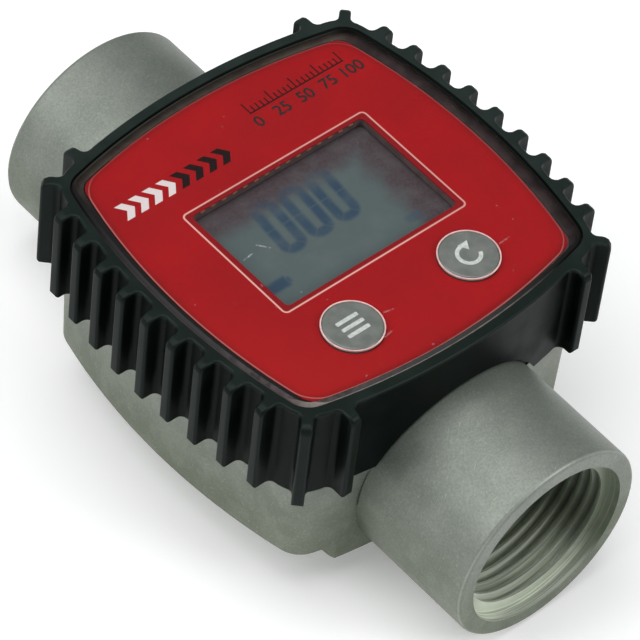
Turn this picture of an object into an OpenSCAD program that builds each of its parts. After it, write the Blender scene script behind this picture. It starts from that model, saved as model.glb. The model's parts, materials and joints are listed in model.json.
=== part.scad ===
// Digital turbine flow meter, in millimetres.
// Y runs along the pipe, X is the reading direction of the display and Z points out of it.
// The origin is on the flat foot, under the middle of the pipe.

/* [Pipe body] */
// How far each pipe end reaches beyond the display housing's wall
end_reach = 24; // [21:0.05:30]
// Height of the pipe axis above the flat foot
axis_h = 21; // [20.8:0.1:24]
// Outer radius of the two pipe ends
boss_r = 20.5; // [19.8:0.1:21]
// Outer radius of the pipe inside the tray
pipe_r = 16; // [15.7:0.1:16.6]
// Height of the tray's rim above the pipe axis
tray_rise = 10.4; // [9.3:0.1:11]
// Depth of the tray's underside below the pipe axis
tray_drop = 9.6; // [8:0.1:10.4]
// Depth of the end cheeks' underside below the pipe axis
cheek_drop = 13.6; // [11:0.1:14.4]
// Half width of the end cheeks
cheek_hx = 25.4; // [24:0.1:27]
// Length of each end cheek along the pipe
cheek_len = 5.2; // [4:0.1:6]
// Wall of the tray
tray_wall = 3.2; // [2.6:0.1:3.6]
// Thickness of the tray's floor
tray_floor = 3; // [2:0.1:4]
// How far the tray stands in from the housing's wall, across
tray_in_x = 1.65; // [1:0.05:1.9]
// How far the tray stands in from the housing's wall, along the pipe
tray_in_y = 1.1; // [0.8:0.05:1.6]
// Radius of the tray's bowed sides
body_bow_r = 125; // [115:1:150]
// Radius of the tray's corners
body_corner_r = 5.5; // [5:0.1:6]
// Half width of the flat foot
foot_hx = 13; // [10:0.5:15]
// Half length of the flat foot
foot_hy = 27; // [18:0.5:30]

/* [Pipe ports] */
// Radius of the thread's crests, the pipe thread's minor radius
thread_minor_r = 15.15; // [14.9:0.05:15.3]
// Radius of the thread's roots, the pipe thread's major radius
thread_major_r = 16.62; // [16.3:0.01:16.8]
// Pitch of the pipe thread
thread_pitch = 2.309; // [2:0.001:2.4]
// Number of thread turns in each port
thread_turns = 6; // [4:1:6]
// Length of the plain stretch behind the thread
pilot_len = 3.5; // [2.5:0.1:4]
// Radius of the plain relief at the mouth
relief_r = 17.14; // [16.95:0.01:17.4]
// Depth of the plain relief at the mouth
relief_len = 2.7; // [2:0.1:3.5]
// Rounding of the mouth's outer edge
mouth_round = 0.9; // [0.4:0.1:1.4]

/* [Turbine] */
// Radius of the metering bore round the rotor
chamber_r = 12.5; // [12.3:0.05:12.7]
// Gap between the rotor's blade tips and the metering bore
tip_gap = 0.5; // [0.3:0.05:0.8]
// Half length of the rotor's hub
rotor_half = 12.6; // [11:0.1:13.2]
// Half length of the blades along the axis
blade_half = 9.5; // [7:0.1:10.5]
// Number of rotor blades
blade_count = 6; // [4:2:8]
// Lean of the blades against the flow
blade_lean = 32; // [20:1:40]
// Thickness of the blades
blade_t = 1.2; // [0.8:0.1:1.6]
// Radius of the rotor's hub
rotor_hub_r = 4.6; // [4.4:0.1:5.5]
// Radius of the rotor's shaft
shaft_r = 1.5; // [1.2:0.05:1.8]
// Running clearance of the shaft in its bushes
shaft_gap = 0.05; // [0.03:0.01:0.08]
// Distance from the middle of the meter to each flow guide
guide_y = 14; // [13.6:0.1:15]
// Length of each flow guide
guide_len = 18; // [15:0.5:18.5]
// Radius of the bore that holds the flow guides
guide_bore_r = 13; // [12.85:0.05:13.3]
// Number of vanes in each flow guide
vane_count = 5; // [3:1:6]
// Outer radius of the shaft bushes
bush_r = 2.6; // [2.4:0.1:3]
// Length of the shaft bushes
bush_len = 4.7; // [4.2:0.1:6]
// Radius of the rotor's magnets
magnet_r = 1.3; // [1:0.05:1.5]
// Radius of the circlip grooves
clip_groove_r = 14.1; // [13.8:0.05:14.3]
// Width of the circlip grooves
clip_groove_w = 1.4; // [1.3:0.05:1.8]

/* [Display housing] */
// Half width of the housing's wall, without its ribs
case_hx = 38.05; // [37.7:0.05:39]
// Half length of the housing's wall, without its ribs
case_hy = 38.1; // [37.7:0.05:39]
// Radius of the bowed sides
case_bow_r = 129; // [122:1:150]
// Radius of the housing's corners
case_corner_r = 6.5; // [6:0.1:7]
// Wall of the housing's skirt
skirt_wall = 2.6; // [2.4:0.05:2.8]
// Wall of the housing above the gasket's ledge
upper_wall = 4.35; // [4.2:0.05:4.6]
// Gap between the pipe end and the arch cut over it
arch_gap = 0.7; // [0.4:0.05:1]
// Thickness of the deck under the label
deck_t = 1.5; // [1.2:0.1:2]
// Distance between neighbouring ribs
rib_pitch = 6.68; // [6.2:0.01:6.9]
// Number of ribs on each long side
rib_count = 9; // [5:2:9]
// Thickness of the ribs
rib_t = 2.2; // [1.6:0.1:2.6]
// How far the ribs stand out from the wall
rib_reach = 3.45; // [2.6:0.05:3.8]
// Radius of the fillets between the ribs and the wall
rib_root = 1.3; // [0.6:0.1:1.8]
// How far the end ribs stand in from the housing's long sides
end_rib_in = 11.4; // [11:0.1:13]
// How far the four corner posts stand in from the housing's wall
post_in = 9.7; // [9.5:0.05:9.9]

/* [Label and cover] */
// How far the label stands in from the clear cover's edge, across
label_in_x = 2.5; // [2:0.05:3.2]
// How far the label stands in from the clear cover's edge, along the pipe
label_in_y = 1.55; // [1.4:0.05:2.8]
// Radius of the label's bowed sides
label_bow_r = 119; // [110:1:150]
// Radius of the label's corners
label_corner_r = 3.3; // [2:0.1:3.6]
// Thickness of the label
label_t = 0.2; // [0.15:0.05:0.3]
// Width of the housing's rim beside the clear cover, across the reading direction
rim_x = 1.6; // [1.4:0.05:2]
// Width of the housing's rim beside the clear cover, along the pipe
rim_y = 2.2; // [1.9:0.05:2.4]
// Radius of the clear cover's corners
cover_corner_r = 4.6; // [4.3:0.1:5]
// Thickness of the clear cover
cover_t = 1.5; // [1.2:0.05:2]
// How far the clear cover stands above the rim
cover_proud = 0.2; // [0:0.05:0.5]
// Width of the display window
window_w = 39.4; // [37:0.1:40]
// Height of the display window
window_h = 25.6; // [24:0.1:26]
// Display centre, across
window_x = 0.5; // [-0.5:0.1:0.8]
// Display centre, along the pipe
window_y = 0.95; // [0.2:0.05:1.1]

/* [Buttons] */
// Diameter of the buttons
button_d = 10.8; // [10:0.1:11.2]
// Gap between a button and the holes that it passes
button_gap = 0.3; // [0.2:0.05:0.5]
// Distance of the buttons from the middle, across
button_x = 13.4; // [12.8:0.1:14]
// Distance of the buttons from the display window's lower edge
button_drop = 10.35; // [10:0.05:10.6]
// How far the clear cover stands above the buttons
button_sunk = 0.7; // [0.3:0.05:0.8]
// Press travel of the buttons
button_travel = 0.5; // [0.2:0.05:0.6]

/* [Electronics] */
// Thickness of the battery tray's plate
plate_t = 1.6; // [1.3:0.1:2]
// Thickness of the tray's gasket
gasket_t = 0.8; // [0.6:0.05:1]
// Height of the standoffs under the circuit board
standoff_h = 2.7; // [2.5:0.1:3.3]
// Thickness of the circuit board
board_t = 1.6; // [1.2:0.1:1.8]
// Height of the display's contact strips
strip_h = 3.1; // [3:0.05:3.4]
// Thickness of the display glass
lcd_t = 2.2; // [2:0.05:2.5]
// Radius of the battery cells
cell_r = 5.25; // [5.15:0.05:5.3]
// Length of the battery cells
cell_len = 44.5; // [43.5:0.1:44.6]
// Height of the switch bodies
switch_h = 3; // [2.6:0.05:3.1]
// Width of the switch bodies
switch_w = 6; // [5.5:0.1:6.5]

/* [Fasteners] */
// Radius of the housing screws' shanks
screw_r = 1.75; // [1.5:0.05:1.8]
// Radius of the housing screws' heads
screw_head_r = 3.3; // [3:0.05:3.4]
// Height of the housing screws' heads
screw_head_h = 2.4; // [2:0.1:2.8]
// Grip of the housing screws in the housing's posts
screw_grip = 9; // [6:0.5:12]
// Radius of the module screws' shanks
mod_screw_r = 1; // [0.8:0.05:1.1]
// Grip of the module screws in the deck's posts
mod_screw_grip = 4; // [3:0.1:4.5]

/* [Hidden] */
$fn = 64;

// Overrun of every cut past the faces that it opens
overrun = 0.5;
// Clearance between parts that drop into each other
fit = 0.15;
// Clearance between parts that pass each other
pass = 0.35;

// Steps of the bowed sides, the corners and the small roundings
side_steps = 8;
corner_steps = 6;
round_steps = 4;

// Heights, built up from the foot
tray_top = axis_h + tray_rise;
tray_bottom = axis_h - tray_drop;
cheek_bottom = axis_h - cheek_drop;
pocket_floor = tray_bottom + tray_floor;
plate_gap = 0.5;
plate_z = axis_h + pipe_r + plate_gap;
plate_top = plate_z + plate_t;
ledge_z = plate_top + gasket_t;
board_z = plate_top + standoff_h;
board_top = board_z + board_t;
lcd_z = board_top + strip_h;
lcd_top = lcd_z + lcd_t;
lcd_gap = 0.3;
deck_z = lcd_top + lcd_gap;
deck_top = deck_z + deck_t;
label_top = deck_top + label_t;
cover_top = label_top + cover_t;
case_top = cover_top - cover_proud;

// Lengths along the pipe
mouth_y = case_hy + end_reach;
thread_end = mouth_y - relief_len;
thread_start = thread_end - thread_turns * thread_pitch;
pilot_start = thread_start - pilot_len;
clip_y = guide_y + guide_len;
boss_gap = 0.15;
boss_start = case_hy - skirt_wall + boss_gap;

// Shares of one thread pitch taken by a flank and by a root
flank_share = 0.3;
root_share = 0.2;

// Tray, foot and cheeks
body_hx = case_hx - tray_in_x;
body_hy = case_hy - tray_in_y;
foot_round = 3;
cheek_bow_r = 400;
cheek_corner_r = 3.5;
column_r = 4.6;

// Turbine fits
rotor_r = chamber_r - tip_gap;
guide_r = guide_bore_r - shaft_gap;
guide_ring_t = 1.25;
guide_hub_r = 4.4;
guide_hub_len = 8;
nose_r = 0.6;
vane_t = 1.2;
vane_setback = 1;
bush_floor = 1;
shaft_play = 0.2;
shaft_half = guide_y + bush_len - bush_floor - shaft_play;
magnet_in = shaft_r + 0.6 * shaft_r;
magnet_sunk = 0.25;
clip_t = clip_groove_w - fit;
clip_in_r = guide_bore_r - guide_ring_t;
clip_opening = 6;

// Housing posts and module posts
post_r = 4.1;
ledge_post_r = 5.9;
mod_post_r = 2;
mod_gap = 0.5;
mod_out = 1;
post_x = case_hx - post_in;
post_y = case_hy - post_in;
mod_x = post_x - ledge_post_r - mod_post_r - mod_gap;
mod_y = post_y + mod_out;
mod_head_r = 1.9;
mod_head_h = 1.4;
head_depth = 4;
hole_gap = 0.2;
counterbore_r = screw_head_r + hole_gap;
slot_share = 0.6;
slot_w_share = 0.22;

// Ribs
end_rib_x = case_hx - end_rib_in;
rib_round = 0.6;
rib_head = 1.8;
rib_foot = 0.7;
rib_sink = 1;
// How deep the fillets bite into the wall's facets
rib_bite = 0.03;

// Label, seal and cover
cover_hx = case_hx - rim_x;
cover_hy = case_hy - rim_y;
cover_bow_r = case_bow_r - rim_x;
label_hx = cover_hx - label_in_x;
label_hy = cover_hy - label_in_y;
seal_margin = 0.25;
window_round = 1;

// Battery tray
cell_gap = 4;
cell_x = pipe_r + cell_gap + cell_r;
cell_z = plate_z - fit - cell_r;
contact_t = 0.4;
contact_gap = 0.9;
trough_wall = 0.9;
trough_gap = 0.5;
trough_in = cell_r + fit;
trough_hy = cell_len / 2 + contact_gap;
nub_r = 1.9;
nub_len = 0.8;
dimple_r = 2.4;
contact_w = 8.4;
tab_w = 2;
tab_x = cell_x - 2.5;

// Circuit board
board_edge_x = 4;
board_edge_y = 2.5;
board_hx = case_hx - upper_wall - board_edge_x;
board_hy = case_hy - upper_wall - board_edge_y;
chip_w = 9;
chip_h = 1.2;
chip_x = 14;
chip_y = 8;
lead_t = 0.3;
lead_count = 8;
sensor_r = 1.05;
sensor_len = 12;
wire_r = 0.3;
wire_len = 2;

// Display
lcd_w = window_w + 3.2;
lcd_h = window_h + 3.4;
frame_wall = 1.1;
strip_w = 1.5;
strip_inset = 0.6;
strip_short = 2.4;

// Button stack
button_y = window_h / 2 - window_y + button_drop;
hole_r = button_d / 2 + button_gap;
key_r = button_d / 2;
key_top = cover_top - button_sunk;
seal_t = 0.5;
seal_r = hole_r + 0.8;
key_play = 0.1;
flange_r = seal_r - button_gap;
flange_t = 1;
flange_top = deck_z - seal_t - key_play;
flange_z = flange_top - flange_t;
plunger_r = 1.65;
plunger_gap = 0.08;
plunger_out = 0.6;
plunger_in = 1.4;
plunger_top = board_top + switch_h + plunger_out;
stem_r = 2;

function bow(h, s, rb) = h - rb + sqrt(rb * rb - s * s);

function arc(cx, cy, r, a, b, n) =
    [for (i = [0 : n]) [cx + r * cos(a + (b - a) * i / n), cy + r * sin(a + (b - a) * i / n)]];

function tail(list) = [for (i = [1 : len(list) - 1]) list[i]];

// Centre of the rounded corner between two bowed sides
function corner(hx, hy, rb, rc) =
    let (p = hx - rb, q = hy - rb, d = norm([p, q]))
    let (h = sqrt(pow(rb - rc, 2) - d * d / 4))
    [p / 2 - q / d * h, q / 2 - p / d * h];

function quarter(hx, hy, rb, rc) =
    let (c = corner(hx, hy, rb, rc))
    let (a = atan2(c[1], c[0] - hx + rb), b = atan2(c[1] - hy + rb, c[0]))
    concat(arc(hx - rb, 0, rb, 0, a, side_steps),
        tail(arc(c[0], c[1], rc, a, b, corner_steps)),
        tail(arc(0, hy - rb, rb, b, 90, side_steps)));

function outline(hx, hy, rb, rc) =
    let (q = quarter(hx, hy, rb, rc), n = len(q))
    concat(q,
        [for (i = [n - 2 : -1 : 0]) [-q[i][0], q[i][1]]],
        [for (i = [1 : n - 1]) [-q[i][0], -q[i][1]]],
        [for (i = [n - 2 : -1 : 1]) [q[i][0], -q[i][1]]]);

function rounded(w, h, r) =
    concat(arc(w / 2 - r, h / 2 - r, r, 0, 90, corner_steps),
        arc(r - w / 2, h / 2 - r, r, 90, 180, corner_steps),
        arc(r - w / 2, r - h / 2, r, 180, 270, corner_steps),
        arc(w / 2 - r, r - h / 2, r, 270, 360, corner_steps));

module slab(z0, z1) {
    translate([0, 0, z0]) linear_extrude(z1 - z0) children();
}

module body_outline(inset) {
    polygon(outline(body_hx - inset, body_hy - inset, body_bow_r - inset, body_corner_r - inset));
}

module case_outline(inset) {
    polygon(outline(case_hx - inset, case_hy - inset, case_bow_r - inset, case_corner_r - inset));
}

module both_ends() {
    children();
    mirror([0, 1, 0]) children();
}

module both_sides() {
    children();
    mirror([1, 0, 0]) children();
}

module four() {
    both_ends() both_sides() children();
}

// Lays a shape made round Z along the pipe axis, towards +Y
module on_axis() {
    translate([0, 0, axis_h]) rotate([-90, 0, 0]) children();
}

module along_pipe(r, y0, y1) {
    on_axis() translate([0, 0, y0]) cylinder(r = r, h = y1 - y0);
}

module at_posts(z0, z1, r) {
    four() translate([post_x, post_y, z0]) cylinder(r = r, h = z1 - z0);
}

module at_mod(z0, z1, r) {
    four() translate([mod_x, mod_y, z0]) cylinder(r = r, h = z1 - z0);
}

// Pipe body

module boss() {
    on_axis() rotate_extrude() polygon(concat(
        [[0, boss_start], [boss_r, boss_start]],
        arc(boss_r - mouth_round, mouth_y - mouth_round, mouth_round, 0, 90, round_steps),
        [[0, mouth_y]]));
}

module cheek() {
    intersection() {
        slab(cheek_bottom, axis_h) body_outline(0);
        slab(cheek_bottom, axis_h) polygon(outline(cheek_hx, body_hy, cheek_bow_r, cheek_corner_r));
        translate([-cheek_hx, body_hy - cheek_len, cheek_bottom])
            cube([2 * cheek_hx, cheek_len, cheek_drop]);
    }
}

module belly() {
    intersection() {
        along_pipe(boss_r, -boss_start, boss_start);
        translate([-boss_r, -boss_start, 0]) cube([2 * boss_r, 2 * boss_start, axis_h]);
    }
    slab(0, axis_h - pipe_r) polygon(rounded(2 * foot_hx, 2 * foot_hy, foot_round));
}

module pocket() {
    difference() {
        slab(pocket_floor, tray_top + overrun) body_outline(tray_wall);
        along_pipe(pipe_r, -boss_start, boss_start);
        at_posts(pocket_floor, tray_top + overrun, column_r);
    }
}

function thread_ring(i) =
    let (s = thread_start + i * thread_pitch)
    [[thread_minor_r, s],
    [thread_major_r, s + flank_share * thread_pitch],
    [thread_major_r, s + (flank_share + root_share) * thread_pitch],
    [thread_minor_r, s + (2 * flank_share + root_share) * thread_pitch]];

module port_cut() {
    on_axis() rotate_extrude() polygon(concat(
        [[0, -overrun], [chamber_r, -overrun], [chamber_r, guide_y], [guide_bore_r, guide_y],
        [guide_bore_r, clip_y], [clip_groove_r, clip_y], [clip_groove_r, clip_y + clip_groove_w],
        [guide_bore_r, clip_y + clip_groove_w],
        [guide_bore_r, pilot_start - thread_minor_r + guide_bore_r],
        [thread_minor_r, pilot_start]],
        [for (i = [0 : thread_turns - 1]) each thread_ring(i)],
        [[thread_minor_r, thread_end], [relief_r, thread_end],
        [relief_r, mouth_y + overrun], [0, mouth_y + overrun]]));
}

module meter_body() {
    color([0.56, 0.58, 0.54])
    difference() {
        union() {
            slab(tray_bottom, tray_top) body_outline(0);
            both_ends() cheek();
            belly();
            along_pipe(pipe_r, -boss_start, boss_start);
            both_ends() boss();
        }
        pocket();
        both_ends() port_cut();
        at_posts(tray_bottom - overrun, tray_bottom + head_depth, counterbore_r);
        at_posts(tray_bottom, tray_top + overrun, screw_r + hole_gap);
    }
}

// Turbine cartridge, inlet at -Y and outlet at +Y

function nose_point(a) =
    [nose_r + (guide_hub_r - nose_r) * cos(a),
    guide_y + guide_hub_len + (guide_len - guide_hub_len) * sin(a)];

module flow_guide() {
    color([0.86, 0.86, 0.82])
    difference() {
        union() {
            on_axis() rotate_extrude() polygon([[guide_r - guide_ring_t, guide_y],
                [guide_r, guide_y], [guide_r, clip_y], [guide_r - guide_ring_t, clip_y]]);
            on_axis() rotate_extrude() polygon(concat([[0, guide_y], [guide_hub_r, guide_y]],
                [for (i = [0 : corner_steps]) nose_point(90 * i / corner_steps)], [[0, clip_y]]));
            on_axis() for (k = [1 : vane_count]) rotate([0, 0, k * 360 / vane_count])
                translate([bush_r + bush_floor / 2, -vane_t / 2, guide_y + vane_setback])
                cube([guide_r - guide_ring_t / 2 - bush_r - bush_floor / 2, vane_t,
                    guide_hub_len + vane_setback]);
        }
        along_pipe(bush_r, guide_y - overrun, guide_y + bush_len);
    }
}

module bush() {
    color([0.75, 0.6, 0.35])
    difference() {
        along_pipe(bush_r, guide_y, guide_y + bush_len);
        along_pipe(shaft_r + shaft_gap, guide_y - overrun, guide_y + bush_len - bush_floor);
    }
}

module circlip() {
    color([0.6, 0.6, 0.62])
    difference() {
        along_pipe(clip_groove_r, clip_y, clip_y + clip_t);
        along_pipe(clip_in_r, clip_y - overrun, clip_y + clip_t + overrun);
        translate([-clip_opening / 2, clip_y - overrun, axis_h])
            cube([clip_opening, clip_t + 2 * overrun, clip_groove_r + overrun]);
    }
}

module magnet_places(y) {
    on_axis() for (side = [0, 180]) rotate([0, 0, side + 180 / blade_count])
        translate([magnet_in, 0, y]) rotate([0, 90, 0]) children();
}

module turbine_rotor() {
    color([0.92, 0.92, 0.9])
    difference() {
        union() {
            along_pipe(rotor_hub_r, -rotor_half, rotor_half);
            intersection() {
                along_pipe(rotor_r, -blade_half, blade_half);
                on_axis() for (k = [1 : blade_count]) rotate([0, 0, k * 360 / blade_count])
                    rotate([blade_lean, 0, 0]) translate([(shaft_r + rotor_hub_r) / 2, -blade_t / 2,
                    -2 * blade_half]) cube([rotor_r, blade_t, 4 * blade_half]);
            }
        }
        along_pipe(shaft_r, -rotor_half - overrun, rotor_half + overrun);
        magnet_places(0) cylinder(r = magnet_r, h = rotor_r);
    }
}

module turbine_shaft() {
    color([0.78, 0.78, 0.8]) along_pipe(shaft_r, -shaft_half, shaft_half);
}

module rotor_magnets() {
    color([0.45, 0.45, 0.47])
    magnet_places(0) cylinder(r = magnet_r, h = rotor_hub_r - magnet_sunk - magnet_in);
}

// Display housing

// A rib runs along X from a round wall, given as [centre x, centre y, radius]. side is -1 or 1

function fillet_centre(wall, side) =
    let (y = side * (rib_t / 2 + rib_root))
    [wall[0] + sqrt(pow(wall[2] - rib_bite + rib_root, 2) - pow(y - wall[1], 2)), y];

function fillet(wall, side) =
    let (c = fillet_centre(wall, side), a = atan2(c[1] - wall[1], c[0] - wall[0]))
    arc(c[0], c[1], rib_root, 180 + a, 180 + 90 * side, round_steps);

function back(list) = [for (i = [len(list) - 1 : -1 : 0]) list[i]];

function rib_plan(wall, tip) =
    let (low = fillet(wall, -1), high = fillet(wall, 1))
    concat([low[0] - [rib_sink, 0]], low,
        arc(tip - rib_round, rib_round - rib_t / 2, rib_round, -90, 0, round_steps),
        arc(tip - rib_round, rib_t / 2 - rib_round, rib_round, 0, 90, round_steps),
        back(high), [high[0] - [rib_sink, 0]]);

function rib_side(root, tip) = concat([[root, tray_top]],
    arc(tip - rib_foot, tray_top + rib_foot, rib_foot, -90, 0, round_steps),
    arc(tip - rib_head, case_top - rib_head, rib_head, 0, 90, round_steps),
    [[root, case_top]]);

module rib(wall, at) {
    tip = at + rib_reach;
    root_half = rib_t + 2 * rib_root;
    intersection() {
        slab(tray_top, case_top) polygon(rib_plan(wall, tip));
        rotate([90, 0, 0]) translate([0, 0, -root_half]) linear_extrude(2 * root_half)
            polygon(rib_side(at - 3 * rib_sink, tip));
    }
}

module ribs() {
    for (k = [-(rib_count - 1) / 2 : (rib_count - 1) / 2])
        both_sides() translate([0, k * rib_pitch, 0])
        rib([case_hx - case_bow_r, -k * rib_pitch, case_bow_r],
            bow(case_hx, k * rib_pitch, case_bow_r));
    four() translate([end_rib_x, 0, 0]) rotate([0, 0, 90])
        rib([case_hy - case_bow_r, end_rib_x, case_bow_r],
            bow(case_hy, end_rib_x, case_bow_r));
    c = corner(case_hx, case_hy, case_bow_r, case_corner_r);
    four() translate([c[0], c[1], 0]) rotate([0, 0, 45])
        rib([0, 0, case_corner_r], case_corner_r);
}

module arch() {
    along_pipe(boss_r + arch_gap, case_hy - skirt_wall, case_hy + rib_reach + overrun);
    along_pipe(pipe_r + arch_gap, case_hy - upper_wall, case_hy);
}

module inner_posts() {
    intersection() {
        union() {
            at_posts(tray_top, deck_z, post_r);
            at_posts(ledge_z, deck_z, ledge_post_r);
            four() translate([post_x, post_y, tray_top])
                cube([case_corner_r, case_corner_r, deck_z - tray_top]);
            at_mod(board_top, deck_z, mod_post_r);
        }
        slab(tray_top, deck_z) case_outline(skirt_wall / 2);
    }
}

module display_housing() {
    color([0.12, 0.13, 0.13])
    difference() {
        union() {
            difference() {
                union() {
                    slab(tray_top, case_top) case_outline(0);
                    ribs();
                }
                slab(tray_top - overrun, ledge_z) case_outline(skirt_wall);
                slab(ledge_z - overrun, deck_z) case_outline(upper_wall);
                both_ends() arch();
            }
            inner_posts();
        }
        slab(deck_top, case_top + overrun) polygon(outline(cover_hx + fit, cover_hy + fit,
            cover_bow_r + fit, cover_corner_r + fit));
        translate([window_x, window_y, 0]) slab(deck_z - overrun, deck_top + overrun)
            polygon(rounded(window_w, window_h, window_round));
        button_places() slab(deck_z - overrun, deck_top + overrun) circle(hole_r);
        at_posts(tray_top - overrun, tray_top + screw_grip + overrun, screw_r);
        at_mod(board_top - overrun, board_top + mod_screw_grip + overrun, mod_screw_r);
    }
}

module button_places() {
    both_sides() translate([button_x, -button_y, 0]) children();
}

// Electronics module

module tray_gasket() {
    color([0.2, 0.2, 0.2])
    difference() {
        slab(plate_top, ledge_z) case_outline(skirt_wall + pass);
        difference() {
            slab(plate_top - overrun, ledge_z + overrun) case_outline(upper_wall - pass);
            at_posts(plate_top - overrun, ledge_z + overrun, ledge_post_r - pass);
        }
        at_posts(plate_top - overrun, ledge_z + overrun, post_r + pass);
        corner_notch(plate_top, ledge_z);
    }
}

// Room for the webs that tie the corner posts to the housing's wall
module corner_notch(z0, z1) {
    four() translate([post_x - pass, post_y - pass, z0 - overrun])
        cube([case_corner_r + 2 * pass, case_corner_r + 2 * pass, z1 - z0 + 2 * overrun]);
}

module trough() {
    translate([cell_x, 0, tray_top + trough_gap]) difference() {
        translate([-trough_in - trough_wall, -trough_hy - trough_wall, 0])
            cube([2 * (trough_in + trough_wall), 2 * (trough_hy + trough_wall),
                plate_z - tray_top - trough_gap]);
        translate([-trough_in, -trough_hy, -overrun])
            cube([2 * trough_in, 2 * trough_hy, plate_z - tray_top - trough_gap + overrun]);
    }
}

module battery_tray() {
    color([0.25, 0.26, 0.27])
    difference() {
        union() {
            slab(plate_z, plate_top) case_outline(skirt_wall + pass);
            both_sides() trough();
            at_mod(plate_top, board_z, mod_post_r);
        }
        at_posts(plate_z - overrun, plate_top + overrun, post_r + pass);
        corner_notch(plate_z, plate_top);
        at_mod(plate_z - overrun, board_z + overrun, mod_screw_r + hole_gap / 2);
        four() translate([tab_x - tab_w / 2 - hole_gap / 2,
            trough_hy - contact_t - hole_gap / 2, plate_z - overrun])
            cube([tab_w + hole_gap, contact_t + hole_gap / 2, plate_t + 2 * overrun]);
    }
}

module battery_cell() {
    color([0.2, 0.35, 0.6]) translate([cell_x, -cell_len / 2, cell_z]) rotate([-90, 0, 0]) {
        cylinder(r = cell_r, h = cell_len - nub_len);
        cylinder(r = nub_r, h = cell_len);
    }
}

module battery_contacts() {
    color([0.8, 0.75, 0.6])
    four() {
        translate([cell_x - contact_w / 2, trough_hy - contact_t, cell_z - contact_w / 2])
            cube([contact_w, contact_t, plate_z - cell_z + contact_w / 2]);
        translate([tab_x - tab_w / 2, trough_hy - contact_t, cell_z])
            cube([tab_w, contact_t, board_z - cell_z]);
        translate([cell_x, cell_len / 2, cell_z]) rotate([-90, 0, 0])
            cylinder(r = dimple_r, h = contact_gap - contact_t);
    }
}

module circuit_board() {
    color([0.1, 0.4, 0.2])
    difference() {
        slab(board_z, board_top)
            polygon(rounded(2 * board_hx, 2 * board_hy, window_round));
        at_posts(board_z - overrun, board_top + overrun, ledge_post_r + pass);
        at_mod(board_z - overrun, board_top + overrun, mod_screw_r + hole_gap / 2);
    }
}

module controller_chip() {
    color([0.1, 0.1, 0.1]) translate([-chip_x, chip_y, board_z - chip_h]) {
        translate([-chip_w / 2, -chip_w / 2, 0]) cube([chip_w, chip_w, chip_h - lead_t]);
        for (k = [0 : lead_count - 1]) both_sides()
            translate([0, (k - (lead_count - 1) / 2) * chip_w / lead_count - lead_t / 2, 0])
            translate([0, 0, chip_h - 2 * lead_t])
            cube([chip_w / 2 + 2 * lead_t, lead_t, 2 * lead_t]);
    }
}

module reed_sensor() {
    color([0.7, 0.75, 0.75]) translate([0, 0, plate_top + sensor_r]) {
        translate([-sensor_len / 2, 0, 0]) rotate([0, 90, 0])
            cylinder(r = sensor_r, h = sensor_len);
        translate([-sensor_len / 2 - wire_len, 0, 0]) rotate([0, 90, 0])
            cylinder(r = wire_r, h = sensor_len + 2 * wire_len);
        both_sides() translate([sensor_len / 2 + wire_len - wire_r, 0, -wire_r])
            cylinder(r = wire_r, h = board_z - plate_top - sensor_r + wire_r);
    }
}

module on_display() {
    translate([window_x, window_y, 0]) children();
}

module display_strips() {
    color([0.85, 0.5, 0.5])
    on_display() both_ends() translate([-(lcd_w - strip_short) / 2,
        lcd_h / 2 - strip_inset - strip_w, board_top])
        cube([lcd_w - strip_short, strip_w, strip_h]);
}

module display_glass() {
    color([0.5, 0.58, 0.58])
    on_display() slab(lcd_z, lcd_top) square([lcd_w, lcd_h], center = true);
}

module display_frame() {
    color([0.85, 0.85, 0.82])
    on_display() slab(board_top, lcd_top) difference() {
        square([lcd_w + 2 * (fit + frame_wall), lcd_h + 2 * (fit + frame_wall)], center = true);
        square([lcd_w + 2 * fit, lcd_h + 2 * fit], center = true);
    }
}

// Buttons, as made for the side at +X

module tact_switch() {
    color([0.15, 0.15, 0.15])
    translate([button_x, -button_y, board_top]) difference() {
        translate([-switch_w / 2, -switch_w / 2, 0]) cube([switch_w, switch_w, switch_h]);
        translate([0, 0, switch_h - plunger_in - button_travel - key_play])
            cylinder(r = plunger_r + plunger_gap, h = switch_h);
    }
}

module plunger() {
    color([0.8, 0.8, 0.8])
    translate([button_x, -button_y, plunger_top - plunger_in - plunger_out])
        cylinder(r = plunger_r, h = plunger_in + plunger_out);
}

module button() {
    color([0.62, 0.63, 0.6]) translate([button_x, -button_y, 0]) {
        translate([0, 0, flange_z]) cylinder(r = key_r, h = key_top - flange_z);
        translate([0, 0, flange_z]) cylinder(r = flange_r, h = flange_t);
        translate([0, 0, plunger_top]) cylinder(r = stem_r, h = flange_top - plunger_top);
    }
}

module button_seal() {
    color([0.2, 0.2, 0.2]) translate([button_x, -button_y, 0]) difference() {
        slab(deck_z - seal_t, deck_z) circle(seal_r);
        slab(deck_z - seal_t - overrun, deck_z + overrun) circle(hole_r);
    }
}

// Front

module face_label() {
    color([0.7, 0.11, 0.13])
    difference() {
        slab(deck_top, label_top)
            polygon(outline(label_hx, label_hy, label_bow_r, label_corner_r));
        on_display() slab(deck_top - overrun, label_top + overrun)
            polygon(rounded(window_w, window_h, window_round));
        button_places() slab(deck_top - overrun, label_top + overrun) circle(hole_r);
    }
}

module cover_seal() {
    color([0.1, 0.1, 0.1])
    difference() {
        slab(deck_top, label_top) polygon(outline(cover_hx, cover_hy, cover_bow_r, cover_corner_r));
        slab(deck_top - overrun, label_top + overrun) polygon(outline(label_hx + seal_margin,
            label_hy + seal_margin, label_bow_r + seal_margin, label_corner_r + seal_margin));
    }
}

module clear_cover() {
    color([0.85, 0.88, 0.88, 0.4])
    difference() {
        slab(label_top, cover_top)
            polygon(outline(cover_hx, cover_hy, cover_bow_r, cover_corner_r));
        button_places() slab(label_top - overrun, cover_top + overrun) circle(hole_r);
    }
}

// Fasteners, driven from below

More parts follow.
